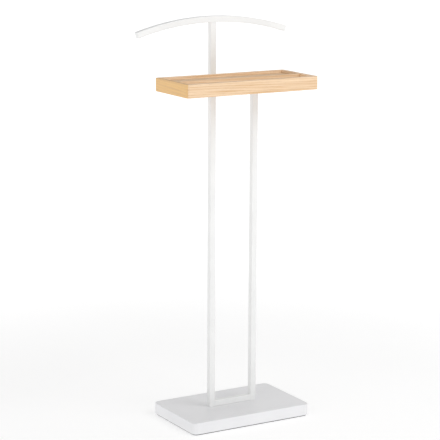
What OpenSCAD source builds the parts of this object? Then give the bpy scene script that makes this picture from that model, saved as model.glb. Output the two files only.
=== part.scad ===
// Valet stand: a weighted base slab, two square tube posts joined by a crossbar,
// a wooden tray with a trouser slot on the front of the posts, and an arched
// jacket hanger on top of the tall post.
// Millimetres, +Z up. The origin is the centre of the felt's underside, +X runs
// along the base to the right of someone facing the stand, and +Y to its back.

/* [Overall] */
// Height from the floor to the crown of the hanger
total_h = 1080; // [900:1:1400]

/* [Base] */
// Length of the base slab, left to right
base_l = 360; // [280:1:520]
// Depth of the base slab, front to back
base_w = 225; // [190:1:360]
// Thickness of the base slab
base_t = 31; // [24:1:45]
// Radius of the slab's upright corners
base_corner_r = 16; // [6:0.5:30]
// Radius of the slab's top and bottom edges
base_edge_r = 2.5; // [1:0.5:5]
// Thickness of the felt under the slab
felt_t = 3; // [1:0.5:4]
// Distance of the felt from the slab's edge
felt_inset = 4; // [2:0.5:12]

/* [Ballast] */
// Length of each steel bar let into the slab
ballast_l = 240; // [160:1:260]
// Width of each steel bar
ballast_w = 40; // [20:1:50]
// Thickness of each steel bar
ballast_t = 10; // [6:1:14]
// Distance between the middles of the two bars
ballast_pitch = 110; // [90:1:120]
// Distance of each ballast screw from its bar's end
ballast_screw_edge = 25; // [12:1:50]

/* [Frame] */
// Side of the square tube
tube = 16; // [14:0.5:25]
// Wall of the square tube
tube_wall = 1.5; // [1:0.1:2.5]
// Radius of the tube's outer edges
tube_edge_r = 1.2; // [0.5:0.1:2]
// Distance between the middles of the two posts
post_pitch = 128; // [100:1:200]
// Drop of the short post's cap below the tray's rim
short_post_drop = 2; // [1:1:4]

/* [Hanger] */
// Width of the hanger, tip to tip
hanger_l = 440; // [360:1:500]
// Radius of the arch over the top of the bar
hanger_r = 750; // [500:5:1500]

/* [Tray] */
// Length of the tray, left to right
tray_l = 384; // [300:1:480]
// Depth of the tray, front to back
tray_w = 170; // [140:1:240]
// Height of the tray's boards
tray_h = 34; // [28:1:60]
// Distance from the hanger's crown down to the tray's rim
rim_below_crown = 149; // [120:1:400]
// Sideways place of the tray's middle, to the left of the base's middle
tray_offset = 44; // [-60:1:60]
// Thickness of the four outer boards
board_t = 13; // [11:0.5:18]
// Radius of the tray's upright corners
tray_corner_r = 7; // [2:0.5:12]
// Width of the open slot behind the front rail
slot_w = 55; // [35:1:80]
// Thickness of the partition between slot and compartment
partition_t = 10; // [8:0.5:14]
// Drop of the compartment's floor below the rim
floor_drop = 7; // [5:0.5:14]
// Thickness of the floor panel
floor_t = 6; // [4:0.5:8]
// Depth of the groove that holds the floor panel
groove_d = 4; // [2:0.5:6]

/* [Fasteners] */
// Diameter of the base bolts and the hanger bolt
bolt_d = 6; // [5:1:8]
// Length of thread of those bolts inside their inserts
bolt_grip = 15; // [10:1:25]
// Height of the threaded inserts inside the posts
insert_h = 20; // [16:1:40]
// Diameter of the screws that hold the tray
screw_d = 4; // [3:0.5:5]
// Length of the threaded bushes in the back board
bush_l = 8; // [5:0.5:8]
// Outer diameter of the threaded bushes
bush_d = 8; // [6.5:0.5:9]
// Diameter of the partition's dowels
dowel_d = 5; // [4:0.5:6]
// Length of the partition's dowels
dowel_l = 20; // [16:1:30]
// Thickness of the loose feathers in the mitres
feather_t = 3; // [2:0.5:3]
// Width of the loose feathers across the mitres
feather_w = 8; // [5:0.5:8]

/* [Fits] */
// Clearance of a bolt or screw in a plain hole, on the radius
hole_clear = 0.25; // [0.1:0.05:0.5]
// Clearance of a thread, dowel or feather in its seat, on each side
seat_clear = 0.05; // [0.03:0.01:0.15]
// Clearance of the floor panel in its groove and of a bar in its pocket
panel_clear = 0.2; // [0.1:0.05:0.5]

/* [Hidden] */
$fn = 64;
eps = 0.01;

// Levels
slab_bottom = felt_t;
slab_top = felt_t + base_t;
tray_top = total_h - rim_below_crown;
tray_bottom = tray_top - tray_h;
floor_top = tray_top - floor_drop;

// Frame
left_x = -post_pitch / 2;
right_x = post_pitch / 2;
tube_bore = tube - 2 * tube_wall;
insert_side = tube_bore - 2 * seat_clear;
cap_t = 1.5;
cap_stem = 5;
short_post_top = tray_top - short_post_drop - cap_t;

// Hanger: the arch is centred over the tall post
arch_z = total_h - hanger_r;
arch_half = asin(hanger_l / 2 / hanger_r);
plug_d = 12;

// Bolts: button heads with a washer under each
bolt_head_d = 1.8 * bolt_d;
bolt_head_h = 0.6 * bolt_d;
washer_d = bolt_head_d + 1.2;
washer_t = 1.2;
bolt_pocket_d = washer_d + 2;
bolt_pocket_h = 8;
hanger_head_d = tube_bore - 3;

// Ballast
ballast_screw_d = 4;
ballast_screw_l = 18;
ballast_head_d = 7.5;
ballast_head_h = 2.4;

// Tray plan
tray_x0 = -tray_offset - tray_l / 2;
tray_x1 = tray_x0 + tray_l;
tray_y1 = -tube / 2;
tray_y0 = tray_y1 - tray_w;
inner_x0 = tray_x0 + board_t;
inner_x1 = tray_x1 - board_t;
inner_y0 = tray_y0 + board_t;
inner_y1 = tray_y1 - board_t;
partition_y0 = inner_y0 + slot_w;
partition_y1 = partition_y0 + partition_t;

// Tray fixings: two screws through each post into bushes in the back board
screw_head_d = 1.9 * screw_d;
screw_zs = [tray_bottom + 8, short_post_top - cap_stem - screw_head_d / 2 - 1];
screw_head_h = 0.6 * screw_d;

// Dowels and feathers, all below the floor panel's groove
dowel_in_side = 8;
dowel_edge = 6;
dowel_zs = [tray_bottom + dowel_edge, floor_top - floor_t - dowel_edge];
feather_z0 = tray_bottom + 4;
feather_h = floor_top - floor_t - 2 - feather_z0;
feather_reach = 6;

// Colours
WHITE = [0.93, 0.93, 0.92];
WOOD = [0.86, 0.70, 0.48];
PLY = [0.80, 0.66, 0.46];
STEEL = [0.62, 0.63, 0.65];
BRASS = [0.78, 0.62, 0.32];
FELT = [0.32, 0.32, 0.33];

// ---------- shared shapes ----------

// A rectangle with round corners, its lowest corner at the origin
module round_rect(l, w, r) {
    translate([r, 0]) square([l - 2 * r, w]);
    translate([0, r]) square([l, w - 2 * r]);
    for (x = [r, l - r], y = [r, w - r]) translate([x, y]) circle(r);
}

// A centred slab with round upright corners and round top and bottom edges
module soft_slab(l, w, t, r, e) {
    module edge_profile(run) {
        square([run - e, t]);
        translate([0, e]) square([run, t - 2 * e]);
        for (y = [e, t - e]) translate([run - e, y]) circle(e);
    }
    translate([-l / 2 + r, -w / 2 + r, 0]) cube([l - 2 * r, w - 2 * r, t]);
    for (side = [0, 1]) {
        rotate([0, 0, 180 * side]) translate([0, w / 2 - r, 0])
            rotate([90, 0, 90]) translate([0, 0, -l / 2 + r])
                linear_extrude(l - 2 * r) edge_profile(r);
        rotate([0, 0, 180 * side]) translate([l / 2 - r, 0, 0])
            rotate([90, 0, 0]) translate([0, 0, -w / 2 + r])
                linear_extrude(w - 2 * r) edge_profile(r);
    }
    for (i = [0:3]) rotate([0, 0, 90 * i]) {
        run_x = (i % 2 == 0) ? l / 2 : w / 2;
        run_y = (i % 2 == 0) ? w / 2 : l / 2;
        translate([run_x - r, run_y - r, 0])
            rotate_extrude(angle = 90) edge_profile(r);
    }
}

// The tube's outline, centred
module tube_outline() {
    translate([-tube / 2, -tube / 2]) round_rect(tube, tube, tube_edge_r);
}

// A length of square tube standing on the XY plane
module tube_run(length) {
    difference() {
        linear_extrude(length) tube_outline();
        translate([0, 0, -eps]) linear_extrude(length + 2 * eps)
            square(tube_bore, center = true);
    }
}

// A hole of a given radius along Z, from z0 to z1
module hole(r, z0, z1) {
    translate([0, 0, z0]) cylinder(r = r, h = z1 - z0);
}

// Places its children at the foot of each post, on the floor plane
module at_posts() {
    for (x = [left_x, right_x]) translate([x, 0, 0]) children();
}

// Places its children at each tray screw, turned so that +Z runs to the front
module at_tray_screws() {
    for (x = [left_x, right_x], z = screw_zs) translate([x, 0, z]) rotate([90, 0, 0]) children();
}

// Places its children at each ballast bar's middle
module at_ballast() {
    for (y = [-ballast_pitch / 2, ballast_pitch / 2]) translate([0, y, 0]) children();
}

// Places its children at each ballast screw
module at_ballast_screws() {
    reach = ballast_l / 2 - ballast_screw_edge;
    at_ballast() for (x = [-reach, reach]) translate([x, 0, 0]) children();
}

// ---------- base ----------

module base_plate() {
    color(WHITE) difference() {
        translate([0, 0, slab_bottom]) soft_slab(base_l, base_w, base_t, base_corner_r, base_edge_r);
        at_posts() {
            hole(bolt_d / 2 + hole_clear, slab_bottom, slab_top + 1);
            hole(bolt_pocket_d / 2, slab_bottom - 1, slab_bottom + bolt_pocket_h);
        }
        at_ballast() translate([-ballast_l / 2 - panel_clear, -ballast_w / 2 - panel_clear, slab_bottom - 1])
            cube([ballast_l + 2 * panel_clear, ballast_w + 2 * panel_clear, ballast_t + 1]);
        at_ballast_screws()
            hole(ballast_screw_d / 2 + seat_clear, slab_bottom, slab_bottom + ballast_screw_l + 1);
    }
}

module base_felt() {
    r = max(base_corner_r - felt_inset, 1);
    l = base_l - 2 * felt_inset;
    w = base_w - 2 * felt_inset;
    color(FELT) linear_extrude(felt_t) translate([-l / 2, -w / 2]) round_rect(l, w, r);
}

module ballast_bars() {
    color(STEEL) difference() {
        at_ballast() translate([-ballast_l / 2, -ballast_w / 2, slab_bottom])
            cube([ballast_l, ballast_w, ballast_t]);
        at_ballast_screws() {
            hole(ballast_screw_d / 2 + hole_clear, slab_bottom - 1, slab_bottom + ballast_t + 1);
            hole(ballast_head_d / 2 + hole_clear, slab_bottom - 1, slab_bottom + ballast_head_h);
        }
    }
}

module ballast_screws() {
    color(STEEL) at_ballast_screws() {
        hole(ballast_head_d / 2, slab_bottom, slab_bottom + ballast_head_h);
        hole(ballast_screw_d / 2, slab_bottom, slab_bottom + ballast_screw_l);
    }
}

// Button-head bolts, up through the slab into the posts' inserts
module base_bolts() {
    seat = slab_bottom + bolt_pocket_h - washer_t;
    color(STEEL) at_posts() {
        hole(bolt_d / 2, seat, slab_top + bolt_grip);
        hole(bolt_head_d / 2, seat - bolt_head_h, seat);
    }
}

module base_washers() {
    seat = slab_bottom + bolt_pocket_h;
    color(STEEL) at_posts() difference() {
        hole(washer_d / 2, seat - washer_t, seat);
        hole(bolt_d / 2 + hole_clear, seat - washer_t - 1, seat + 1);
    }
}

// ---------- frame ----------

// The tall post, its top cut to the underside of the arch
module left_post() {
    color(WHITE) difference() {
        intersection() {
            translate([left_x, 0, slab_top]) tube_run(total_h - slab_top);
            translate([left_x, tube, arch_z]) rotate([90, 0, 0])
                cylinder(r = hanger_r - tube, h = 2 * tube, $fn = 256);
        }
        tray_screw_holes(left_x);
    }
}

// The short post, which ends behind the tray's back board
module right_post() {
    color(WHITE) difference() {
        translate([right_x, 0, slab_top]) tube_run(short_post_top - slab_top);
        tray_screw_holes(right_x);
    }
}

// The holes for one post's two tray screws
module tray_screw_holes(x) {
    for (z = screw_zs) translate([x, 0, z]) rotate([90, 0, 0])
        hole(screw_d / 2 + hole_clear, -tube, tube);
}

// The tube between the feet, welded to both posts and lying on the slab
module bottom_crossbar() {
    run = post_pitch - tube;
    color(WHITE) translate([-run / 2, 0, slab_top + tube / 2]) rotate([0, 90, 0]) tube_run(run);
}

// A threaded block that fits a post's bore, standing on the XY plane
module threaded_insert() {
    difference() {
        translate([-insert_side / 2, -insert_side / 2, 0]) cube([insert_side, insert_side, insert_h]);
        hole(bolt_d / 2 + seat_clear, -1, insert_h + 1);
    }
}

module foot_inserts() {
    color(STEEL) at_posts() translate([0, 0, slab_top]) threaded_insert();
}

// Its top is level with the lowest point of the hanger's underside over the post
insert_top = arch_z + sqrt(pow(hanger_r - tube, 2) - pow(tube / 2, 2));

module post_top_insert() {
    color(STEEL) translate([left_x, 0, insert_top - insert_h]) threaded_insert();
}

module right_post_cap() {
    color(WHITE) translate([right_x, 0, short_post_top]) {
        linear_extrude(cap_t) tube_outline();
        translate([-insert_side / 2, -insert_side / 2, -cap_stem]) cube([insert_side, insert_side, cap_stem]);
    }
}

// ---------- hanger ----------

// Turns a shape made round the Z axis into the upright plane of the arch
module arch_frame() {
    translate([left_x, 0, arch_z]) rotate([90, 0, 0]) children();
}

// The tube bent to the arch, with a hole for the bolt and one for its key
module hanger_bar() {
    mid_r = hanger_r - tube / 2;
    color(WHITE) difference() {
        arch_frame() rotate([0, 0, 90 - arch_half]) rotate_extrude(angle = 2 * arch_half, $fn = 256)
            translate([mid_r, 0]) difference() {
                tube_outline();
                square(tube_bore, center = true);
            }
        translate([left_x, 0, 0]) {
            hole(bolt_d / 2 + hole_clear, total_h - 2 * tube, total_h - tube / 2);
            hole(plug_d / 2, total_h - tube / 2, total_h + 1);
        }
    }
}

// A cap for one end of the bar: side is -1 for the left end and 1 for the right
module hanger_cap(side) {
    color(WHITE) arch_frame() rotate([0, 0, 90 - side * arch_half])
        translate([hanger_r - tube / 2, 0, 0]) rotate([side > 0 ? 90 : -90, 0, 0]) {
            linear_extrude(cap_t) tube_outline();
            translate([-insert_side / 2, -insert_side / 2, -cap_stem])
                cube([insert_side - seat_clear, insert_side, cap_stem]);
        }
}

module hanger_left_cap() { hanger_cap(-1); }

module hanger_right_cap() { hanger_cap(1); }

// Inside the bar, the bolt's washer lies on the lower wall
bar_floor = total_h - tube + tube_wall;

module hanger_washer() {
    color(STEEL) translate([left_x, 0, 0]) difference() {
        hole(plug_d / 2 - hole_clear, bar_floor, bar_floor + washer_t);
        hole(bolt_d / 2 + hole_clear, bar_floor - 1, bar_floor + washer_t + 1);
    }
}

module hanger_bolt() {
    seat = bar_floor + washer_t;
    color(STEEL) translate([left_x, 0, 0]) {
        hole(bolt_d / 2, total_h - tube - bolt_grip, seat);
        hole(hanger_head_d / 2, seat, seat + bolt_head_h);
    }
}

// The plug that closes the bolt's key hole, level with the top of the bar
module hanger_access_plug() {
    color(WHITE) translate([left_x, 0, 0])
        hole(plug_d / 2 - seat_clear, total_h - tube_wall - 1.5, total_h - 0.03);
}

// ---------- tray ----------

// The four boards' ring, before it is cut at the mitres
module tray_ring() {
    difference() {
        translate([tray_x0, tray_y0]) round_rect(tray_l, tray_w, tray_corner_r);
        translate([inner_x0, inner_y0]) square([inner_x1 - inner_x0, inner_y1 - inner_y0]);
    }
}

// The wedge of the plan that belongs to one board, by side
module board_wedge(side) {
    reach = board_t + 1;
    a = [inner_x0 - reach, inner_y0 - reach];
    b = [inner_x1 + reach, inner_y0 - reach];
    c = [inner_x1 + reach, inner_y1 + reach];
    d = [inner_x0 - reach, inner_y1 + reach];
    ai = [inner_x0, inner_y0];
    bi = [inner_x1, inner_y0];
    ci = [inner_x1, inner_y1];
    di = [inner_x0, inner_y1];
    polygon(side == "front" ? [a, b, bi, ai]
        : side == "right" ? [b, c, ci, bi]
        : side == "back" ? [c, d, di, ci] : [d, a, ai, di]);
}

module board_blank(side) {
    translate([0, 0, tray_bottom]) linear_extrude(tray_h) intersection() {
        tray_ring();
        board_wedge(side);
    }
}

// The floor panel grown by a clearance, which is also the shape of its groove
module panel_block(clear) {
    translate([inner_x0 - groove_d - clear, partition_y1 - groove_d - clear, floor_top - floor_t - clear])
        cube([inner_x1 - inner_x0 + 2 * (groove_d + clear), inner_y1 - partition_y1 + 2 * (groove_d + clear),
              floor_t + 2 * clear]);
}

// One loose feather across each mitre, grown by a clearance
module feathers(clear) {
    mitres = [[inner_x0, inner_y0, 225], [inner_x1, inner_y0, 315], [inner_x1, inner_y1, 45], [inner_x0, inner_y1, 135]];
    for (m = mitres) translate([m[0], m[1], feather_z0]) rotate([0, 0, m[2]])
        translate([feather_reach - feather_t / 2 - clear, -feather_w / 2 - clear, -clear])
            cube([feather_t + 2 * clear, feather_w + 2 * clear, feather_h + 2 * clear]);
}

// The partition's dowels, two at each end, grown by a clearance
module dowels(clear) {
    y = (partition_y0 + partition_y1) / 2;
    for (z = dowel_zs) {
        translate([inner_x0 - dowel_in_side - clear, y, z]) rotate([0, 90, 0])
            cylinder(d = dowel_d + 2 * clear, h = dowel_l + 2 * clear);
        translate([inner_x1 + dowel_in_side + clear, y, z]) rotate([0, -90, 0])
            cylinder(d = dowel_d + 2 * clear, h = dowel_l + 2 * clear);
    }
}

module tray_front_rail() {
    color(WOOD) difference() {
        board_blank("front");
        feathers(seat_clear);
    }
}

module tray_back_board() {
    color(WOOD) difference() {
        board_blank("back");
        feathers(seat_clear);
        panel_block(panel_clear);
        at_tray_screws() hole(bush_d / 2 + seat_clear, tube / 2 - 1, tube / 2 + bush_l + panel_clear);
    }
}

module tray_left_board() {
    color(WOOD) difference() {
        board_blank("left");
        feathers(seat_clear);
        panel_block(panel_clear);
        dowels(seat_clear);
    }
}

module tray_right_board() {
    color(WOOD) difference() {
        board_blank("right");
        feathers(seat_clear);
        panel_block(panel_clear);
        dowels(seat_clear);
    }
}

module tray_partition() {
    color(WOOD) difference() {
        translate([inner_x0, partition_y0, tray_bottom])
            cube([inner_x1 - inner_x0, partition_t, tray_h]);
        panel_block(panel_clear);
        dowels(seat_clear);
    }
}

module tray_floor() {
    color(PLY) panel_block(0);
}

module corner_feathers() {
    color(PLY) feathers(0);
}

module partition_dowels() {
    color(PLY) dowels(0);
}

module tray_bushes() {
    color(BRASS) at_tray_screws() difference() {
        hole(bush_d / 2, tube / 2, tube / 2 + bush_l);
        hole(screw_d / 2 + seat_clear, tube / 2 - 1, tube / 2 + bush_l + 1);
    }
}

module tray_screws() {
    color(STEEL) at_tray_screws() {
        hole(screw_d / 2, -tube / 2, tube / 2 + bush_l - 1);
        hole(screw_head_d / 2, -tube / 2 - screw_head_h, -tube / 2);
    }
}

base_plate();
base_felt();
ballast_bars();
ballast_screws();
base_bolts();
base_washers();
left_post();
right_post();
bottom_crossbar();
foot_inserts();
post_top_insert();
right_post_cap();
hanger_bar();
hanger_left_cap();
hanger_right_cap();
hanger_bolt();
hanger_washer();
hanger_access_plug();
tray_front_rail();
tray_back_board();
tray_left_board();
tray_right_board();
tray_partition();
tray_floor();
corner_feathers();
partition_dowels();
tray_bushes();
tray_screws();
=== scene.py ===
"""Valet stand: the visible pieces, finishes, light and camera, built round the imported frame."""

import math

import bmesh
import bpy
import numpy as np
from bpy.props import FloatProperty, FloatVectorProperty, PointerProperty
from mathutils import Matrix, Vector


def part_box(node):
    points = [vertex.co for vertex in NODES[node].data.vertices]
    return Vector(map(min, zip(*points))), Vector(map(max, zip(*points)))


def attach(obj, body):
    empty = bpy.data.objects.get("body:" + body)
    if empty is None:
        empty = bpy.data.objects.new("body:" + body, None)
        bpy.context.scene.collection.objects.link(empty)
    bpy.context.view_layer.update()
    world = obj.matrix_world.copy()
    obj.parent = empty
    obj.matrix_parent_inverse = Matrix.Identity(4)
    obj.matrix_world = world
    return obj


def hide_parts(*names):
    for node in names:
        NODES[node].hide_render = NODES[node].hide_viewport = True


bl_info = {
    "name": "Valet Stand",
    "version": (1, 0, 0),
    "blender": (4, 5, 0),
    "location": "View3D > Sidebar > Valet Stand",
    "description": "Builds a valet stand's visible pieces and finishes round its packed frame",
    "category": "Object",
}

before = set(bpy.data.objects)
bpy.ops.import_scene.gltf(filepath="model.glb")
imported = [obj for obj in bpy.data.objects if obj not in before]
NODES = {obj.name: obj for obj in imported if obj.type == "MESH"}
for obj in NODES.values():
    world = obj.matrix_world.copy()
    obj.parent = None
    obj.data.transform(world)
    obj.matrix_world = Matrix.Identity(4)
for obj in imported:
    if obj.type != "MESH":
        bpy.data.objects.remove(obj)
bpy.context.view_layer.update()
MM = 0.001
QUARTER_TURN = math.pi / 2

# Points round a circle, and the radius of the edges of small pieces
ROUND_STEPS = 48
FINE_EDGE = 0.5 * MM

# How far the felt stays inside the slab
FELT_INSET = 4 * MM

# How far the hanger's caps stand out from the bar's ends
CAP_STANDS_OUT = 1.5 * MM

# The tray screws' heads, shanks and hexagonal sockets
HEAD_RADIUS = 3.8 * MM
SHANK_RADIUS = 2.0 * MM
KEY_ACROSS_FLATS = 2.5 * MM

# The white sweep's flat radius, the radius of its bend and the height of its wall, in metres
SWEEP_FLAT, SWEEP_BEND, SWEEP_WALL = 7.0, 3.0, 3.4

# The softboxes: where each stands, the point that both face, and their side, in metres
KEY_PLACE = (1.6, -2.7, 3.3)
FILL_PLACE = (-3.4, -1.5, 2.0)
LIGHTS_AIM = (0.0, 0.0, 0.5)
SOFTBOX_SIDE = 2.4

# Finishes that several pieces share, by name, made once
FINISHES = {}


# ---------- sizes and colours ----------


class StandSizes(bpy.types.PropertyGroup):
    """Sizes that the finished pieces need besides their nodes' boxes."""

    slab_corner: FloatProperty(
        name="Slab corner", description="Radius of the slab's upright corners",
        default=16 * MM, unit="LENGTH",
    )
    slab_edge: FloatProperty(
        name="Slab edge", description="Radius of the slab's top and bottom edges",
        default=2.5 * MM, unit="LENGTH",
    )
    tube_edge: FloatProperty(
        name="Tube edge", description="Radius of the square tube's long edges",
        default=1.2 * MM, unit="LENGTH",
    )
    hanger_radius: FloatProperty(
        name="Hanger radius", description="Radius of the arch over the top of the bar",
        default=750 * MM, unit="LENGTH",
    )
    board_edge: FloatProperty(
        name="Board edge", description="Radius of the softened long edges of the boards",
        default=0.9 * MM, unit="LENGTH",
    )
    tray_corner: FloatProperty(
        name="Tray corner", description="Radius of the tray's upright corners",
        default=7 * MM, unit="LENGTH",
    )
    board: FloatProperty(
        name="Board", description="Thickness of the tray's outer boards",
        default=13 * MM, unit="LENGTH",
    )


class StandColours(bpy.types.PropertyGroup):
    """Colours of the finishes."""

    coat: FloatVectorProperty(
        name="Powder coat", description="White of the steel",
        subtype="COLOR", default=(0.805, 0.81, 0.805),
    )
    lacquer: FloatVectorProperty(
        name="Lacquer", description="White of the base slab",
        subtype="COLOR", default=(0.80, 0.80, 0.815),
    )
    wood_light: FloatVectorProperty(
        name="Early wood", description="Light bands of the tray's wood",
        subtype="COLOR", default=(0.835, 0.63, 0.434),
    )
    wood_dark: FloatVectorProperty(
        name="Late wood", description="Dark bands of the tray's wood",
        subtype="COLOR", default=(0.63, 0.39, 0.192),
    )
    # Painted shade, in part: the felt's dark grey is its own colour, and it also draws the dark line along
    # the slab's foot in place of the contact shadow there.
    felt: FloatVectorProperty(
        name="Felt", description="Felt under the slab",
        subtype="COLOR", default=(0.23, 0.23, 0.235),
    )


class StandStage(bpy.types.PropertyGroup):
    """Where the camera stands and how the lights are set."""

    camera_azimuth: FloatProperty(
        name="Azimuth", description="How far left of the front the camera stands",
        default=math.radians(30.79), subtype="ANGLE",
    )
    camera_distance: FloatProperty(
        name="Distance", description="Camera to the middle of the base, along the floor",
        default=4.521, unit="LENGTH",
    )
    camera_height: FloatProperty(
        name="Height", description="Camera above the floor", default=1.4643, unit="LENGTH"
    )
    camera_turn: FloatProperty(
        name="Turn", description="How far left of the base's middle the camera looks",
        default=math.radians(0.417), subtype="ANGLE",
    )
    camera_tilt: FloatProperty(
        name="Tilt", description="How far below the horizon the camera looks",
        default=math.radians(11.58), subtype="ANGLE",
    )
    camera_roll: FloatProperty(
        name="Roll", description="How far the camera leans to its left",
        default=math.radians(0.25), subtype="ANGLE",
    )
    lens: FloatProperty(
        name="Lens", description="Focal length in millimetres", default=142.57, unit="CAMERA"
    )
    world_light: FloatProperty(
        name="World", description="Strength of the light from all round", default=0.50
    )
    floor_glow: FloatProperty(
        name="Sweep", description="Light that the white sweep gives off", default=0.77
    )
    key_light: FloatProperty(
        name="Key", description="Power of the softbox at the front right", default=53.0, unit="POWER"
    )
    fill_light: FloatProperty(
        name="Fill", description="Power of the softbox at the left", default=20.0, unit="POWER"
    )


# ---------- shader expressions ----------


class Value:
    """A number socket that can stand in a Python expression; each operator adds a Math node."""

    def __init__(self, finish, socket):
        self.finish = finish
        self.socket = socket

    def math(self, operation, *others):
        """One Math node of that operation, with this value first."""
        node = self.finish.add("ShaderNodeMath", {"operation": operation}, dict(enumerate((self, *others))))
        return Value(self.finish, node.outputs[0])

    def _swapped(self, operation, other):
        node = self.finish.add("ShaderNodeMath", {"operation": operation}, {0: other, 1: self})
        return Value(self.finish, node.outputs[0])

    def __add__(self, other):
        return self.math("ADD", other)

    def __sub__(self, other):
        return self.math("SUBTRACT", other)

    def __mul__(self, other):
        return self.math("MULTIPLY", other)

    def __truediv__(self, other):
        return self.math("DIVIDE", other)

    def __radd__(self, other):
        return self.math("ADD", other)

    def __rmul__(self, other):
        return self.math("MULTIPLY", other)

    def __rsub__(self, other):
        return self._swapped("SUBTRACT", other)

    def __rtruediv__(self, other):
        return self._swapped("DIVIDE", other)


class Finish:
    """A material with one Principled shader, and the few calls that build its pattern."""

    def __init__(self, name, **constants):
        self.material = bpy.data.materials.new(name)
        self.material.use_nodes = True
        self.tree = self.material.node_tree
        self.tree.nodes.clear()
        self.shader = self.add("ShaderNodeBsdfPrincipled", {}, constants)
        self.add("ShaderNodeOutputMaterial", {}, {"Surface": self.shader.outputs[0]})
        self.place = self.add("ShaderNodeTexCoord").outputs["Object"]

    def add(self, kind, settings=None, sockets=None):
        """Adds one node: its settings first, then a number, colour, Value or socket for each input."""
        node = self.tree.nodes.new(kind)
        for name, setting in (settings or {}).items():
            setattr(node, name, setting)
        for name, given in (sockets or {}).items():
            given = given.socket if isinstance(given, Value) else given
            if isinstance(given, bpy.types.NodeSocket):
                self.tree.links.new(given, node.inputs[name])
            else:
                node.inputs[name].default_value = given
        return node

    def stretched(self, scale, location=(0, 0, 0), turn=0.0):
        """The piece's own coordinates, turned about Z, moved and then scaled on each axis."""
        turned = self.add(
            "ShaderNodeMapping", {}, {"Vector": self.place, "Rotation": (0, 0, turn), "Location": location}
        )
        return self.add("ShaderNodeMapping", {}, {"Vector": turned.outputs[0], "Scale": scale}).outputs[0]

    def noise(self, vector, scale=1.0, detail=3.0, rough=0.55):
        """Smooth noise from 0 to 1, with its middle at 0.5."""
        sockets = {"Vector": vector, "Scale": scale, "Detail": detail, "Roughness": rough}
        return Value(self, self.add("ShaderNodeTexNoise", {}, sockets).outputs[0])

    def split(self, vector):
        """A vector's three numbers."""
        node = self.add("ShaderNodeSeparateXYZ", {}, {0: vector})
        return [Value(self, node.outputs[i]) for i in range(3)]

    def between(self, value, low, high):
        """Rises smoothly from 0 to 1 as value goes from low to high."""
        node = self.add(
            "ShaderNodeMapRange", {"interpolation_type": "SMOOTHSTEP"},
            {"Value": value, "From Min": low, "From Max": high},
        )
        return Value(self, node.outputs[0])

    def mix(self, share, first, second):
        """A colour that goes from first to second as share goes from 0 to 1."""
        ends = [
            given if isinstance(given, bpy.types.NodeSocket) else (*given, 1.0) for given in (first, second)
        ]
        # A Mix node of colours has its share at input 0, its colours at 6 and 7, and its result at output 2
        sockets = {0: share, 6: ends[0], 7: ends[1]}
        return self.add("ShaderNodeMix", {"data_type": "RGBA"}, sockets).outputs[2]

    def finish(self, colour=None, roughness=None, relief=None, depth=0.0):
        """Links the pattern to the shader: colour, roughness, and a relief of that depth in metres."""
        if colour is not None:
            self.tree.links.new(colour, self.shader.inputs["Base Color"])
        if roughness is not None:
            self.tree.links.new(roughness.socket, self.shader.inputs["Roughness"])
        if relief is not None:
            bump = self.add("ShaderNodeBump", {}, {"Height": relief, "Distance": depth, "Strength": 1.0})
            self.tree.links.new(bump.outputs[0], self.shader.inputs["Normal"])
        return self.material


def shade(colour, *factors):
    """A colour made lighter or darker by one factor, or by a factor for each channel."""
    return tuple(min(1.0, c * f) for c, f in zip(colour[:3], factors * (3 // len(factors))))


# ---------- finishes ----------


def powder_coat(colour):
    """Fine satin powder coat: slow drifts of tone and a close orange-peel relief."""
    coat = Finish("white_powder_coat", **{"Specular IOR Level": 0.45})
    drift = coat.noise(coat.place, 14.0, 2.0)
    peel = coat.noise(coat.place, 900.0, 2.0) * 0.7 + coat.noise(coat.place, 2600.0, 1.0) * 0.3
    tone = coat.mix(coat.between(drift, 0.3, 0.7), shade(colour, 0.975), shade(colour, 1.015))
    return coat.finish(tone, 0.36 + drift * 0.06 + peel * 0.06, peel, 0.00006)


def slab_lacquer(colour):
    """Sprayed satin lacquer: almost flat, with soft clouds of tone and a faint ripple."""
    coat = Finish(
        "white_lacquer", **{"Specular IOR Level": 0.5, "Coat Weight": 0.15, "Coat Roughness": 0.2}
    )
    cloud = coat.noise(coat.place, 9.0, 3.0)
    ripple = coat.noise(coat.place, 240.0, 2.0) * 0.75 + coat.noise(coat.place, 1500.0, 1.0) * 0.25
    tone = coat.mix(coat.between(cloud, 0.3, 0.7), shade(colour, 0.98), shade(colour, 1.015))
    return coat.finish(tone, 0.30 + cloud * 0.07 + ripple * 0.04, ripple, 0.00005)


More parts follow.
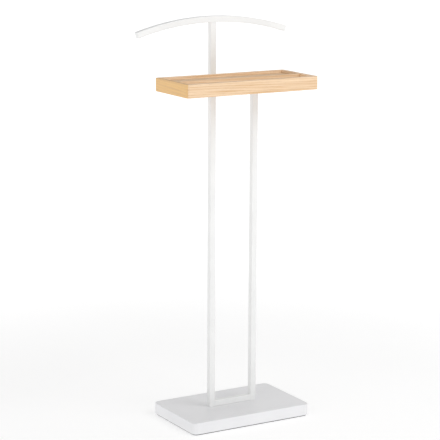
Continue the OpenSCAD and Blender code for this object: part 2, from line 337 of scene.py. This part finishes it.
def oiled_wood(name, light, dark, turn, start, heart, ring=0.0062):
    """Flat-sawn pale wood whose grain runs along X, or along Y with a quarter turn.

    Rings are circles round a heart line that lies outside the board, slightly out of line with it, unevenly
    spaced, and slowly warped along the grain. Each ring goes gently from light to dark and ends sharply.
    Fibres are fine noise drawn out along the grain, and pores are short dark dashes that gather in the dark
    bands. Start says how far along its plank the board was cut.
    """
    wood = Finish(name, **{"Specular IOR Level": 0.35})

    def drawn_out(along, across, detail=2.0, rough=0.55):
        """Noise of one scale along the grain and another across it."""
        vector = wood.stretched((along, across, across), (start, 0, 0), turn)
        return wood.noise(vector, 1.0, detail, rough)

    x, y, z = wood.split(wood.stretched((1, 1, 1), (start, 0, 0), turn))
    warp = drawn_out(2.2, 16) - 0.5
    wave = drawn_out(9, 45) - 0.5
    across = y + x * 0.045 + warp * 0.030 + heart[0]
    up = z + x * 0.02 + wave * 0.0045 + heart[1]
    uneven = drawn_out(1.3, 75) - 0.5
    radius = (across * across + up * up).math("SQRT") + uneven * 0.011
    phase = (radius / ring).math("FRACT")
    band = wood.between(phase, 0.15, 0.92) * (1 - wood.between(phase, 0.93, 1.0))
    fibre = drawn_out(18, 900, 3.0, 0.7)
    streak = drawn_out(5, 150)
    dash = drawn_out(90, 2300, 1.0)
    pore = wood.between(dash, 0.62, 0.74) * (0.35 + band * 0.65)
    share = band * (0.1 + streak * 0.5) + (fibre - 0.5) * 0.75 + (streak - 0.5) * 1.0 + 0.2
    body = wood.mix(wood.between(share, -0.1, 1.0), light, dark)
    tone = wood.mix(pore * 0.55, body, shade(dark, 0.62))
    relief = fibre * 0.5 - pore * 0.8 - band * 0.15
    return wood.finish(tone, 0.44 + fibre * 0.12 - band * 0.05, relief, 0.00012)


def pressed_felt(colour):
    """Pressed felt: matted fibres in two sizes over a mottled ground."""
    felt = Finish("felt", Roughness=0.95, **{"Sheen Weight": 0.3, "Specular IOR Level": 0.1})
    matted = felt.noise(felt.place, 700.0, 4.0, 0.7)
    mottle = felt.noise(felt.place, 60.0, 3.0)
    depth = felt.between(matted * 0.6 + mottle * 0.4, 0.35, 0.7)
    tone = felt.mix(depth, shade(colour, 0.7), shade(colour, 1.6))
    return felt.finish(tone, None, matted, 0.0006)


def moulded_plastic(colour):
    """Matte moulded plastic with a fine spark-eroded grain."""
    plastic = Finish("white_plastic", **{"Specular IOR Level": 0.4})
    grain = plastic.noise(plastic.place, 1800.0, 2.0)
    drift = plastic.noise(plastic.place, 30.0, 1.0)
    tone = plastic.mix(drift, shade(colour, 0.97), shade(colour, 1.0))
    return plastic.finish(tone, 0.5 + grain * 0.1, grain, 0.00004)


def plated_metal(name, colour, roughness, stretch=(900, 900, 60)):
    """Plated or drawn metal: fine lines along one axis, and slow cloudy tone."""
    metal = Finish(name, Metallic=1.0)
    line = metal.noise(metal.stretched(stretch), 1.0, 3.0, 0.6)
    cloud = metal.noise(metal.place, 120.0, 2.0)
    worn = metal.between(cloud * 0.5 + line * 0.5, 0.35, 0.65)
    tone = metal.mix(worn, shade(colour, 0.85), shade(colour, 1.08))
    return metal.finish(tone, roughness + line * 0.12, line, 0.00003)


def make_finishes():
    """Makes every finish once, for all pieces to share."""
    colours = bpy.context.scene.valet_colours
    light, dark = tuple(colours.wood_light), tuple(colours.wood_dark)
    # Painted light: the back board's wood is made paler than the other boards. It stands in for the front
    # light that falls on the tray's inner back face.
    pale, painted_light_pale_dark = shade(light, 1.12, 1.16, 1.22), shade(dark, 1.08)
    # Painted shade: the left board's wood is made darker and more golden than the front board's. It stands in
    # for the lower light on the tray's side face.
    painted_shade_golden = shade(light, 0.94, 0.80, 0.49)
    FINISHES.update(
        coat=powder_coat(colours.coat),
        lacquer=slab_lacquer(colours.lacquer),
        plastic=moulded_plastic(shade(colours.coat, 0.98)),
        # The felt's dark grey is partly painted shade along the slab's foot
        felt=pressed_felt(colours.felt),
        zinc=plated_metal("zinc_steel", (0.58, 0.59, 0.61), 0.3),
        steel=plated_metal("plain_steel", (0.36, 0.36, 0.37), 0.38, (60, 900, 900)),
        brass=plated_metal("brass_bush", (0.70, 0.52, 0.22), 0.25),
        front=oiled_wood("ash_front", light, dark, 0.0, 0.31, (0.200, -0.80)),
        # The back board's paler wood is painted light on the tray's inner back face
        back=oiled_wood("ash_back", pale, painted_light_pale_dark, 0.0, 0.87, (-0.02, -0.79)),
        partition=oiled_wood("ash_partition", light, dark, 0.0, 1.43, (0.125, -0.80)),
        # The left board's darker, more golden wood is painted shade on the tray's side face
        left=oiled_wood("ash_left", painted_shade_golden, dark, QUARTER_TURN, 0.52, (0.26, -0.80)),
        right=oiled_wood("ash_right", light, dark, QUARTER_TURN, 1.12, (-0.17, -0.795)),
        floor=oiled_wood("ash_floor", light, shade(dark, 0.96), 0.0, 2.1, (0.07, -0.87), 0.007),
        ply=oiled_wood("birch_ply", shade(light, 0.97), dark, 0.0, 2.9, (0.3, -0.8), 0.0014),
        dowel=oiled_wood(
            "beech_dowel", shade(light, 0.85), shade(dark, 0.9), 0.0, 3.5, (0.2, -0.8), 0.002
        ),
    )


# ---------- surfaces ----------


def loop_with_round_corners(half_x, half_y, radius, steps):
    """A rectangle with round corners, anticlockwise, as rows of two numbers.

    Each corner is a quarter circle of that radius whose centre lies a radius inside both sides, and each
    quarter has one more point a little way along the straight on either side, to keep the flats flat.
    """
    turn = np.arange(4)[:, None] * QUARTER_TURN + np.linspace(0, QUARTER_TURN, steps)
    normal = np.stack([np.cos(turn), np.sin(turn)], -1)
    sign = np.array([[1, 1], [-1, 1], [-1, -1], [1, -1]])[:, None, :]
    centre = sign * (np.array([half_x, half_y]) - radius)
    arc = centre + radius * normal
    along = np.stack([-normal[..., 1], normal[..., 0]], -1)
    guard = min(radius, 0.3 * min(half_x - radius, half_y - radius) + 1e-5)
    before = arc[:, :1] - guard * along[:, :1]
    after = arc[:, -1:] + guard * along[:, -1:]
    return np.concatenate([before, arc, after], 1).reshape(-1, 2)


def round_rows(rings, steps=ROUND_STEPS):
    """Circles round Z as rows, from (radius, height) pairs; a radius is one number, or one for each point."""
    angle = np.linspace(0, 2 * math.pi, steps, endpoint=False)
    return np.array([
        np.column_stack([radius * np.cos(angle), radius * np.sin(angle), np.full(steps, height)])
        for radius, height in rings
    ])


def quads_between(count, wide):
    """Faces between neighbouring rows of a grid whose rows are closed loops, as rows of four indices."""
    row = np.arange(count - 1)[:, None] * wide
    column = np.arange(wide)[None, :]
    after = (column + 1) % wide
    corners = [row + column, row + after, row + wide + after, row + wide + column]
    return np.stack(corners, -1).reshape(-1, 4)


def solid_from_rows(name, rows, sharp=32.0):
    """A closed skin from rows of points: each row is a loop, and one face closes each end row."""
    rows = np.asarray(rows, float)
    count, wide = rows.shape[:2]
    ends = [list(range(wide))[::-1], list(range((count - 1) * wide, count * wide))]
    faces = quads_between(count, wide).tolist() + ends
    mesh = bpy.data.meshes.new(name)
    mesh.from_pydata(rows.reshape(-1, 3).tolist(), [], faces)
    skin = bmesh.new()
    skin.from_mesh(mesh)
    bmesh.ops.remove_doubles(skin, verts=skin.verts, dist=1e-7)
    bmesh.ops.recalc_face_normals(skin, faces=skin.faces)
    skin.to_mesh(mesh)
    skin.free()
    mesh.shade_smooth()
    mesh.set_sharp_from_angle(angle=math.radians(sharp))
    piece = bpy.data.objects.new(name, mesh)
    bpy.context.scene.collection.objects.link(piece)
    return piece


def place(piece, finish, slot, *nodes):
    """Gives a new piece its finish and its body, and hides the CAD nodes that it stands for. Its slot is not
    used.
    """
    piece.data.materials.append(FINISHES[finish])
    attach(piece, "root")
    if nodes:
        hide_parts(*nodes)


def keep(node, finish):
    """A CAD node that stays, with its finish."""
    mesh = NODES[node].data
    mesh.materials.clear()
    mesh.materials.append(FINISHES[finish])


def soft_block(name, low, high, corner, edge, steps, edge_steps):
    """An upright block with round corners and round top and bottom edges.

    Its plan is a rectangle with round corners. Going up, the plan is drawn in by edge * (1 - cos t) while
    the height turns by edge * (1 - sin t), t going from 0 at the side to a right angle at the top.
    """
    low, high = np.array(low), np.array(high)
    middle, half = (low + high) / 2, (high - low) / 2
    turn = np.linspace(0, QUARTER_TURN, edge_steps)
    inset = edge * (1 - np.cos(turn))
    rise = edge * (1 - np.sin(turn))
    flat = 1.6 * edge
    insets = [flat, *inset[::-1], *inset, flat]
    levels = [low[2], *(low[2] + rise[::-1]), *(high[2] - rise), high[2]]
    rows = []
    for drawn, level in zip(insets, levels):
        radius = max(corner - drawn, edge * 0.1)
        points = loop_with_round_corners(half[0] - drawn, half[1] - drawn, radius, steps)
        rows.append(np.column_stack([points + middle[:2], np.full(len(points), level)]))
    return solid_from_rows(name, rows)


def tube_loop(side, edge):
    """The square tube's outline round its own middle."""
    return loop_with_round_corners(side / 2, side / 2, edge, 7)


def straight_tube(name, low, high, axis, edge, burr=0.25 * MM):
    """A square tube between two corners of its box, along an axis.

    Its outline is carried from end to end, and drawn in by the burr over the last burr's length.
    """
    low, high = np.array(low), np.array(high)
    side = np.delete(high - low, axis).mean()
    middle = (low + high) / 2
    stations = [low[axis], low[axis] + burr, high[axis] - burr, high[axis]]
    insets = [burr, 0.0, 0.0, burr]
    rows = []
    for station, inset in zip(stations, insets):
        loop = tube_loop(side - 2 * inset, edge)
        row = np.insert(loop, axis, station, axis=1)
        other = [i for i in range(3) if i != axis]
        row[:, other] += middle[other]
        rows.append(row)
    return solid_from_rows(name, rows)


def arch_rows(loop, centre, radius, angles, grow=1.0):
    """A loop carried round an upright arch and scaled by grow at each angle from the upright.

    A point lies out from the arch's centre by the radius plus the loop's first number, and its second
    number is its place along Y.
    """
    angles = np.asarray(angles)
    scaled = loop * np.broadcast_to(grow, angles.shape)[:, None, None]
    out = radius + scaled[..., 0]
    across, up = out * np.sin(angles)[:, None], out * np.cos(angles)[:, None]
    return np.stack([centre[0] + across, centre[1] + scaled[..., 1], centre[2] + up], -1)


def board_rows(outer, inner, low, high, edge):
    """A board between an outer and an inner line in plan, with round long edges.

    Each row runs from the outer point to the inner one and back: up the outer face, across the top, down
    the inner face and back along the underside, with a quarter circle at each of the four corners.
    """
    outer, inner = np.array(outer), np.array(inner)
    width = np.linalg.norm(inner - outer, axis=1)[:, None]
    way = (inner - outer) / width
    turn = np.linspace(0, QUARTER_TURN, 5)
    bow_in, bow_up = edge * (1 - np.cos(turn)), edge * (1 - np.sin(turn))
    guard = 1.8 * edge
    from_outer = np.concatenate([[0, 0], bow_in, [guard]])
    levels = np.concatenate([[low + guard, high - guard], high - bow_up, [high]])
    start = np.broadcast_to(from_outer, (len(outer), len(from_outer)))
    depth = np.concatenate([start, width - from_outer[::-1], width - from_outer, start[:, ::-1]], 1)
    under = low + high - levels
    height = np.concatenate([levels, levels[::-1], under, under[::-1]])
    plan = outer[:, None, :] + depth[..., None] * way[:, None, :]
    return np.concatenate([plan, np.broadcast_to(height[None, :, None], (*plan.shape[:2], 1))], -1)


def mitred_board(name, start, end, inward, board, corner, low, high, edge, gap=0.06 * MM):
    """One side of the tray, mitred at both ends round the tray's upright corners.

    The outer line runs from one mitre to the other: an eighth of a turn round the corner's circle, the
    straight, and another eighth. The inner line is straight between the two inner corners. Each end stops
    a gap short of the mitre.
    """
    start, end, inward = np.array(start), np.array(end), np.array(inward)
    along = (end - start) / np.linalg.norm(end - start)
    eighth = np.linspace(math.pi / 4, 0, 8)
    cut = corner * (1 - np.sin(eighth))
    sink = corner * (1 - np.cos(eighth))
    head = start + cut[:, None] * along + sink[:, None] * inward
    tail = end - cut[::-1, None] * along + sink[::-1, None] * inward
    outer = np.concatenate([head, tail])
    step = (cut - cut[0])[:, None] * along
    inner = np.concatenate([
        start + board * (inward + along) + step, end + board * (inward - along) - step[::-1]
    ])
    for line in (outer, inner):
        line[0] += gap * along
        line[-1] -= gap * along
    return solid_from_rows(name, board_rows(outer, inner, low, high, edge))


def straight_board(name, low, high, edge):
    """A board along X with square ends, between two corners of its box."""
    xs = np.array([low[0], high[0]])
    outer = np.column_stack([xs, np.full(2, low[1])])
    inner = np.column_stack([xs, np.full(2, high[1])])
    return solid_from_rows(name, board_rows(outer, inner, low[2], high[2], edge))


def socket_head_rings(radius, height, key):
    """A button head along +Z with a hexagonal socket, as (radius, height) pairs for round_rows.

    The skin goes up the rim and over a dome, whose rise falls with its radius as a quarter circle does. It
    blends from a circle to the hexagon cos(30) / cos(a), a being the angle from the nearest flat, and goes
    down it to a cone.
    """
    angle = np.linspace(0, 2 * math.pi, ROUND_STEPS, endpoint=False)
    sixth = math.pi / 3
    hexagon = key / 2 / np.cos((angle + sixth / 2) % sixth - sixth / 2)
    dome = np.linspace(1.0, 0.72, 6)
    lift = height * (0.35 + 0.65 * np.sqrt(np.maximum(0, 1 - ((dome - 0.6) / 0.4) ** 2)))
    socket = [(1.06, 1.0), (1.0, 0.94), (1.0, 0.4), (0.05, 0.25)]
    return [
        (radius, 0.0),
        *((radius * share, level) for share, level in zip(dome, lift)),
        *((hexagon * share, height * level) for share, level in socket),
    ]


# ---------- operators ----------


class VALET_OT_finishes(bpy.types.Operator):
    """Makes the finishes that all pieces share"""

    bl_idname = "valet.finishes"
    bl_label = "Finishes"

    def execute(self, context):
        make_finishes()
        return {"FINISHED"}


class VALET_OT_base(bpy.types.Operator):
    """Builds the base slab and the felt under it"""

    bl_idname = "valet.base"
    bl_label = "Base"

    def execute(self, context):
        sizes = context.scene.valet_sizes
        low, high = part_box("base_plate")
        slab = soft_block("base_slab", low, high, sizes.slab_corner, sizes.slab_edge, 16, 8)
        place(slab, "lacquer", "white_lacquer", "base_plate")
        low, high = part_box("base_felt")
        felt = soft_block(
            "base_felt_sheet", low, high, sizes.slab_corner - FELT_INSET, FINE_EDGE, 10, 4
        )
        place(felt, "felt", "felt", "base_felt")
        return {"FINISHED"}


class VALET_OT_posts(bpy.types.Operator):
    """Builds both posts, the crossbar between their feet and the short post's cap"""

    bl_idname = "valet.posts"
    bl_label = "Posts"

    def execute(self, context):
        edge = context.scene.valet_sizes.tube_edge
        for node in ("left_post", "right_post"):
            low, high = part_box(node)
            place(straight_tube(node + "_tube", low, high, 2, edge), "coat", "white_powder_coat", node)
        low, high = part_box("bottom_crossbar")
        bar = straight_tube("bottom_crossbar_tube", low, high, 0, edge, 0.1 * MM)
        place(bar, "coat", "white_powder_coat", "bottom_crossbar")
        self.weld(low, high, "left", low[0], 1)
        self.weld(low, high, "right", high[0], -1)
        low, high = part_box("right_post_cap")
        low = (low[0], low[1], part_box("right_post")[1][2])
        cap = soft_block("right_post_cap_top", low, high, edge, FINE_EDGE, 7, 4)
        place(cap, "plastic", "white_plastic", "right_post_cap")
        return {"FINISHED"}

    def weld(self, low, high, side, at, way):
        """A painted fillet weld along the crossbar's top, where it meets a post.

        Its section is a hollow quarter circle whose leg swells and narrows along the seam by a few waves.
        """
        ends_short, leg_length, sunk = 1.4 * MM, 1.5 * MM, -0.12
        along = np.linspace(low[1] + ends_short, high[1] - ends_short, 40)
        leg = leg_length + MM * (0.12 * np.sin(along * 5200) + 0.06 * np.sin(along * 2100))
        leg[[0, -1]] *= 0.4
        turn = np.linspace(0, QUARTER_TURN, 6)
        hollow = np.column_stack([1 - 0.93 * np.sin(turn), 1 - 0.93 * np.cos(turn)])
        section = np.concatenate([[[0.0, sunk]], [[0.0, 1.0]], hollow[::-1], [[1.0, sunk]]])
        out, up = leg[:, None] * section[:, 0], leg[:, None] * section[:, 1]
        rows = np.stack([at + way * out, np.broadcast_to(along[:, None], out.shape), high[2] + up], -1)
        place(solid_from_rows("crossbar_weld_" + side, rows, 50), "coat", "white_powder_coat")


class VALET_OT_hanger(bpy.types.Operator):
    """Builds the arched hanger bar, its end caps and the plug over its bolt"""

    bl_idname = "valet.hanger"
    bl_label = "Hanger"

    def execute(self, context):
        sizes = context.scene.valet_sizes
        low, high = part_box("hanger_bar")
        post_low, post_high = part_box("left_post")
        side = high[1] - low[1]
        centre = ((post_low[0] + post_high[0]) / 2, 0.0, high[2] - sizes.hanger_radius)
        half = math.asin((high[0] - low[0]) / 2 / sizes.hanger_radius)
        radius = sizes.hanger_radius - side / 2
        loop = tube_loop(side, sizes.tube_edge)
        bar = solid_from_rows("hanger_arch", arch_rows(loop, centre, radius, np.linspace(-half, half, 97)))
        place(bar, "coat", "white_powder_coat", "hanger_bar")
        for name, way in (("left", -1), ("right", 1)):
            self.cap(name, way, loop, centre, radius, half)
        low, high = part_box("hanger_access_plug")
        top = ((low[0] + high[0]) / 2, 0.0, high[2])
        out = (high[0] - low[0]) / 2
        shares = [(1.0, low[2] - high[2]), (1.0, -0.3 * MM), (0.985, -0.1 * MM), (0.95, 0.0), (0.4, 0.0)]
        rings = [(out * share, level) for share, level in shares]
        plug = solid_from_rows("hanger_plug", round_rows(rings) + top)
        place(plug, "plastic", "white_plastic", "hanger_access_plug")
        return {"FINISHED"}

    def cap(self, name, way, loop, centre, radius, half):
        """A cap that carries the bar's own loop on past its end.

        It goes straight at first, and then draws the loop in by edge * (1 - cos t) while it goes on by
        edge * sin t, t going to a right angle.
        """
        edge, side = FINE_EDGE, loop[:, 0].max() * 2
        turn = np.linspace(0, QUARTER_TURN, 5)
        round_off = CAP_STANDS_OUT - edge + edge * np.sin(turn)
        reach = np.concatenate([[0.0], round_off, [CAP_STANDS_OUT]])
        grow = np.concatenate([[1.0], 1 - 2 / side * edge * (1 - np.cos(turn)), [1 - 4 / side * edge]])
        rows = arch_rows(loop, centre, radius, way * (half + reach / radius), grow)
        cap = solid_from_rows("hanger_%s_cap_end" % name, rows)
        place(cap, "plastic", "white_plastic", "hanger_%s_cap" % name)


class VALET_OT_tray(bpy.types.Operator):
    """Builds the tray's four mitred boards, its partition and its floor"""

    bl_idname = "valet.tray"
    bl_label = "Tray"

    def execute(self, context):
        sizes = context.scene.valet_sizes
        left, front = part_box("tray_left_board")[0][0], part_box("tray_front_rail")[0][1]
        right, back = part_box("tray_right_board")[1][0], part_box("tray_back_board")[1][1]
        low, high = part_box("tray_front_rail")[0][2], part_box("tray_front_rail")[1][2]
        corners = [(left, front), (right, front), (right, back), (left, back)]
        inward = [(0, 1), (-1, 0), (0, -1), (1, 0)]
        boards = ("front_rail", "right_board", "back_board", "left_board")
        for index, board in enumerate(boards):
            piece = mitred_board(
                "tray_%s_wood" % board, corners[index], corners[(index + 1) % 4], inward[index],
                sizes.board, sizes.tray_corner, low, high, sizes.board_edge,
            )
            place(piece, board.split("_")[0], "oiled_ash", "tray_" + board)
        low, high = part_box("tray_partition")
        partition = straight_board("tray_partition_wood", low, high, sizes.board_edge)
        place(partition, "partition", "oiled_ash", "tray_partition")
        keep("tray_floor", "floor")
        return {"FINISHED"}


class VALET_OT_fixings(bpy.types.Operator):
    """Builds the tray's screws and finishes the pieces hidden inside"""

    bl_idname = "valet.fixings"
    bl_label = "Fixings"

    def execute(self, context):
        low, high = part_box("tray_screws")
        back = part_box("left_post")[1][1]
        tip = low[1] - back
        shank = [(SHANK_RADIUS, tip), (SHANK_RADIUS, tip + 0.5 * MM), (SHANK_RADIUS, 0.0)]
        rows = round_rows(shank + socket_head_rings(HEAD_RADIUS, high[1] - back, KEY_ACROSS_FLATS))
        for across in ("left", "right"):
            post_low, post_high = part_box(across + "_post")
            x = (post_low[0] + post_high[0]) / 2
            for level, z in (("lower", low[2] + HEAD_RADIUS), ("upper", high[2] - HEAD_RADIUS)):
                # The rows' own Z points back, out of the post, and their X points to the left
                world = np.stack([x - rows[..., 0], back + rows[..., 2], z + rows[..., 1]], -1)
                piece = solid_from_rows("tray_screw_%s_%s" % (across, level), world)
                nodes = ("tray_screws",) if (across, level) == ("left", "lower") else ()
                place(piece, "zinc", "zinc_steel", *nodes)
        hidden = {
            "ballast_bars": "steel", "ballast_screws": "zinc",
            "base_bolts": "zinc", "base_washers": "zinc",
            "foot_inserts": "zinc", "post_top_insert": "zinc",
            "hanger_bolt": "zinc", "hanger_washer": "zinc",
            "corner_feathers": "ply", "partition_dowels": "dowel", "tray_bushes": "brass",
        }
        for node, finish in hidden.items():
            keep(node, finish)
        return {"FINISHED"}


class VALET_OT_stage(bpy.types.Operator):
    """Sets the pale floor, the studio light and the camera"""

    bl_idname = "valet.stage"
    bl_label = "Stage"

    def execute(self, context):
        scene = context.scene
        stage = scene.valet_stage
        scene.view_settings.view_transform = "Standard"
        scene.view_settings.look = "None"
        self.sweep(stage.floor_glow)
        world = bpy.data.worlds.new("studio")
        world.use_nodes = True
        background = world.node_tree.nodes["Background"]
        background.inputs["Color"].default_value = (1.0, 1.0, 1.0, 1.0)
        background.inputs["Strength"].default_value = stage.world_light
        scene.world = world
        self.softbox("key", KEY_PLACE, stage.key_light)
        self.softbox("fill", FILL_PLACE, stage.fill_light)
        self.camera(scene, stage)
        return {"FINISHED"}

    def sweep(self, glow):
        """A white floor that curves up all round: a flat disc, a quarter circle, then a short upright wall.

        It gives off less light round the stand than further out, so that the shadows show.
        """
        turn = np.linspace(0, QUARTER_TURN, 24)
        far = SWEEP_FLAT + SWEEP_BEND
        out = [1.0, *(SWEEP_FLAT + SWEEP_BEND * np.sin(turn)), far]
        up = [0.0, *(SWEEP_BEND * (1 - np.cos(turn))), SWEEP_WALL]
        rows = round_rows(zip(out, up), 128)
        quads = quads_between(*rows.shape[:2])[:, ::-1]
        mesh = bpy.data.meshes.new("sweep")
        middle = list(range(rows.shape[1]))
        mesh.from_pydata(rows.reshape(-1, 3).tolist(), [], [*quads.tolist(), middle])
        mesh.shade_smooth()
        sweep = bpy.data.objects.new("sweep", mesh)
        bpy.context.scene.collection.objects.link(sweep)
        shine = {"Specular IOR Level": 0.1, "Emission Strength": glow}
        paint = Finish("sweep_paint", Roughness=0.9, **shine)
        white = (1.0, 1.0, 1.0)
        tone = paint.mix(paint.noise(paint.place, 3.0, 2.0), shade(white, 0.55), shade(white, 0.57))
        x, y, _ = paint.split(paint.place)
        away = paint.between((x * x + y * y).math("SQRT"), 0.6, 2.6)
        given_off = paint.mix(away, shade(white, 0.68), white)
        paint.tree.links.new(given_off, paint.shader.inputs["Emission Color"])
        mesh.materials.append(paint.finish(tone))

    def softbox(self, name, at, power):
        """A square soft light that stands at one point and faces the stand."""
        light = bpy.data.lights.new(name, "AREA")
        light.shape = "SQUARE"
        light.size = SOFTBOX_SIDE
        light.energy = power
        lamp = bpy.data.objects.new(name, light)
        lamp.location = at
        lamp.rotation_euler = (Vector(LIGHTS_AIM) - Vector(at)).to_track_quat("-Z", "Y").to_euler()
        bpy.context.scene.collection.objects.link(lamp)

    def camera(self, scene, stage):
        """Stands the camera on its arc round the base and turns it, its right and up leaning by the roll."""
        azimuth, distance = stage.camera_azimuth, stage.camera_distance
        heading = azimuth - stage.camera_turn
        tilt, roll = stage.camera_tilt, stage.camera_roll
        forward = math.cos(tilt)
        ahead = Vector((math.sin(heading) * forward, math.cos(heading) * forward, -math.sin(tilt)))
        level = Vector((math.cos(heading), -math.sin(heading), 0.0))
        above = level.cross(ahead)
        right = level * math.cos(roll) + above * math.sin(roll)
        up = above * math.cos(roll) - level * math.sin(roll)
        turn = Matrix((right, up, -ahead)).transposed()
        data = bpy.data.cameras.new("camera")
        data.sensor_width = 36.0
        data.lens = stage.lens
        camera = bpy.data.objects.new("camera", data)
        camera.location = (
            -math.sin(azimuth) * distance, -math.cos(azimuth) * distance, stage.camera_height
        )
        camera.rotation_euler = turn.to_euler()
        scene.collection.objects.link(camera)
        scene.camera = camera


class VALET_PT_panel(bpy.types.Panel):
    """Lists the stand's sizes, colours and steps"""

    bl_idname = "VALET_PT_panel"
    bl_label = "Valet Stand"
    bl_space_type = "VIEW_3D"
    bl_region_type = "UI"
    bl_category = "Valet Stand"

    def draw(self, context):
        for group in (context.scene.valet_sizes, context.scene.valet_colours, context.scene.valet_stage):
            box = self.layout.box()
            for name in group.bl_rna.properties.keys():
                if name not in ("rna_type", "name"):
                    box.prop(group, name)
        for step in STEPS:
            self.layout.operator(step.bl_idname)


STEPS = (
    VALET_OT_finishes, VALET_OT_base, VALET_OT_posts, VALET_OT_hanger, VALET_OT_tray, VALET_OT_fixings,
    VALET_OT_stage,
)
CLASSES = (StandSizes, StandColours, StandStage, *STEPS, VALET_PT_panel)


def register():
    for cls in CLASSES:
        bpy.utils.register_class(cls)
    bpy.types.Scene.valet_sizes = PointerProperty(type=StandSizes)
    bpy.types.Scene.valet_colours = PointerProperty(type=StandColours)
    bpy.types.Scene.valet_stage = PointerProperty(type=StandStage)


def unregister():
    del bpy.types.Scene.valet_stage
    del bpy.types.Scene.valet_colours
    del bpy.types.Scene.valet_sizes
    for cls in reversed(CLASSES):
        bpy.utils.unregister_class(cls)


def main():
    register()
    for step in (
        bpy.ops.valet.finishes, bpy.ops.valet.base, bpy.ops.valet.posts, bpy.ops.valet.hanger,
        bpy.ops.valet.tray, bpy.ops.valet.fixings, bpy.ops.valet.stage,
    ):
        step()


if __name__ == "__main__":
    main()
